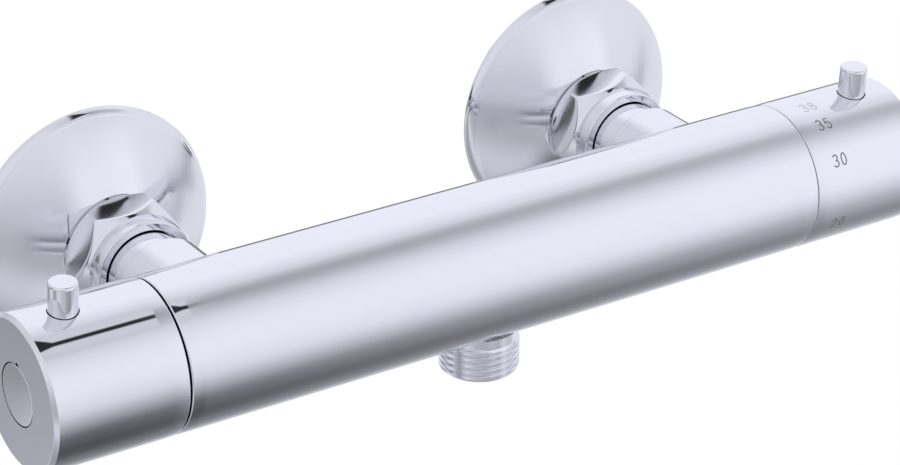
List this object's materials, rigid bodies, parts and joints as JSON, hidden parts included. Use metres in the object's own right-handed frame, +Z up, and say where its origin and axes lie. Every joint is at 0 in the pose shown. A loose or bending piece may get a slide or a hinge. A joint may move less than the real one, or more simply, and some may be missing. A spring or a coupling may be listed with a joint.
{
  "type": "thermostatic bar shower valve",
  "caption": "Exposed round chrome bar valve that mixes hot and cold water for a shower, with a flow handle, a temperature handle and wall unions.",
  "frame": {"origin": "on the wall plane, midway between the centres of the two escutcheons, level with the bar's axis", "axes": "+X along the bar to the user's right, towards the temperature handle; +Y into the wall; +Z up"},
  "size_m": [0.263, 0.103, 0.068],
  "materials": {
    "chrome_plate": "bright chrome plate on brass, polished",
    "raw_brass": "turned, unplated",
    "nitrile_rubber": "smooth moulded",
    "acetal_white": "moulded acetal, satin",
    "polymer_black": "moulded glass-filled polymer",
    "stainless_steel": "drawn wire and turned steel",
    "copper_alloy": "drawn copper cup, bare",
    "alumina": "lapped alumina"
  },
  "bodies": {
    "valve": {"valve_body": "chrome_plate", "outlet_nipple": "chrome_plate", "union_nut_left": "chrome_plate", "union_nut_right": "chrome_plate", "escutcheon_left": "chrome_plate", "escutcheon_right": "chrome_plate", "inlet_tail_left": "chrome_plate", "inlet_tail_right": "chrome_plate", "s_union_left": "raw_brass", "s_union_right": "raw_brass", "flow_cartridge_body": "raw_brass", "thermostat_nut": "raw_brass", "outlet_seal": "nitrile_rubber", "inlet_tail_seal_left": "nitrile_rubber", "inlet_tail_seal_right": "nitrile_rubber", "union_washer_left": "nitrile_rubber", "union_washer_right": "nitrile_rubber", "escutcheon_seal_left": "nitrile_rubber", "escutcheon_seal_right": "nitrile_rubber", "flow_cartridge_seal": "nitrile_rubber", "flow_seat_seal": "nitrile_rubber", "thermostat_orings": "nitrile_rubber", "thermostat_nose_oring": "nitrile_rubber", "check_valve_housing_left": "acetal_white", "check_valve_housing_right": "acetal_white", "flow_stop_ring": "acetal_white", "temperature_stop_ring": "acetal_white", "thermostat_housing": "polymer_black", "thermostat_seat": "polymer_black", "inlet_strainer_left": "stainless_steel", "inlet_strainer_right": "stainless_steel", "check_valve_spring_left": "stainless_steel", "check_valve_spring_right": "stainless_steel", "thermostat_return_spring": "stainless_steel", "flow_fixed_disc": "alumina"},
    "flow_control": {"flow_handle": "chrome_plate", "flow_adapter": "acetal_white", "flow_handle_screw": "stainless_steel", "flow_end_cap": "chrome_plate", "flow_spindle": "raw_brass", "flow_spindle_oring": "nitrile_rubber", "flow_spindle_clip": "stainless_steel", "flow_moving_disc": "alumina", "flow_button_spring": "stainless_steel"},
    "temperature_control": {"temperature_handle": "chrome_plate", "temperature_adapter": "acetal_white", "temperature_handle_screw": "stainless_steel", "temperature_end_cap": "chrome_plate", "temperature_spindle": "raw_brass", "temperature_spindle_oring": "nitrile_rubber", "temperature_button_spring": "stainless_steel"},
    "flow_stop_button": {"flow_stop_button": "chrome_plate"},
    "temperature_stop_button": {"temperature_stop_button": "chrome_plate"},
    "thermostat_element": {"temperature_adjuster": "polymer_black", "overload_spring": "stainless_steel", "overload_plunger": "acetal_white", "wax_element": "copper_alloy", "thermostat_piston": "polymer_black"},
    "check_valve_poppet_left": {"check_valve_poppet_left": "acetal_white"},
    "check_valve_poppet_right": {"check_valve_poppet_right": "acetal_white"}
  },
  "joints": [
    {"name": "flow_turn", "type": "hinge", "parent": "valve", "child": "flow_control", "pos_m": [0, -0.07, 0], "axis": [1, 0, 0], "range_deg": [0, 90]},
    {"name": "temperature_turn", "type": "hinge", "parent": "valve", "child": "temperature_control", "pos_m": [0, -0.07, 0], "axis": [1, 0, 0], "range_deg": [-115, 50]},
    {"name": "thermostat_shift", "type": "slide", "parent": "valve", "child": "thermostat_element", "axis": [1, 0, 0], "range_m": [-0.00048, 0.00021], "deforming": ["thermostat_return_spring"]},
    {"name": "flow_stop_press", "type": "slide", "parent": "flow_control", "child": "flow_stop_button", "axis": [0, 0.0872, -0.9962], "range_m": [0, 0.002], "stiffness_N_per_m": 400, "springref_m": -0.003, "deforming": ["flow_button_spring"]},
    {"name": "temperature_stop_press", "type": "slide", "parent": "temperature_control", "child": "temperature_stop_button", "axis": [0, 0.0872, -0.9962], "range_m": [0, 0.002], "stiffness_N_per_m": 400, "springref_m": -0.003, "deforming": ["temperature_button_spring"]},
    {"name": "check_valve_open_left", "type": "slide", "parent": "valve", "child": "check_valve_poppet_left", "axis": [0, -1, 0], "range_m": [0, 0.0025], "stiffness_N_per_m": 40, "springref_m": -0.005, "deforming": ["check_valve_spring_left"]},
    {"name": "check_valve_open_right", "type": "slide", "parent": "valve", "child": "check_valve_poppet_right", "axis": [0, -1, 0], "range_m": [0, 0.0025], "stiffness_N_per_m": 40, "springref_m": -0.005, "deforming": ["check_valve_spring_right"]}
  ],
  "couplings": [
    {"joint": "thermostat_shift", "follows": "temperature_turn", "m_per_rad": 0.00023873}
  ]
}
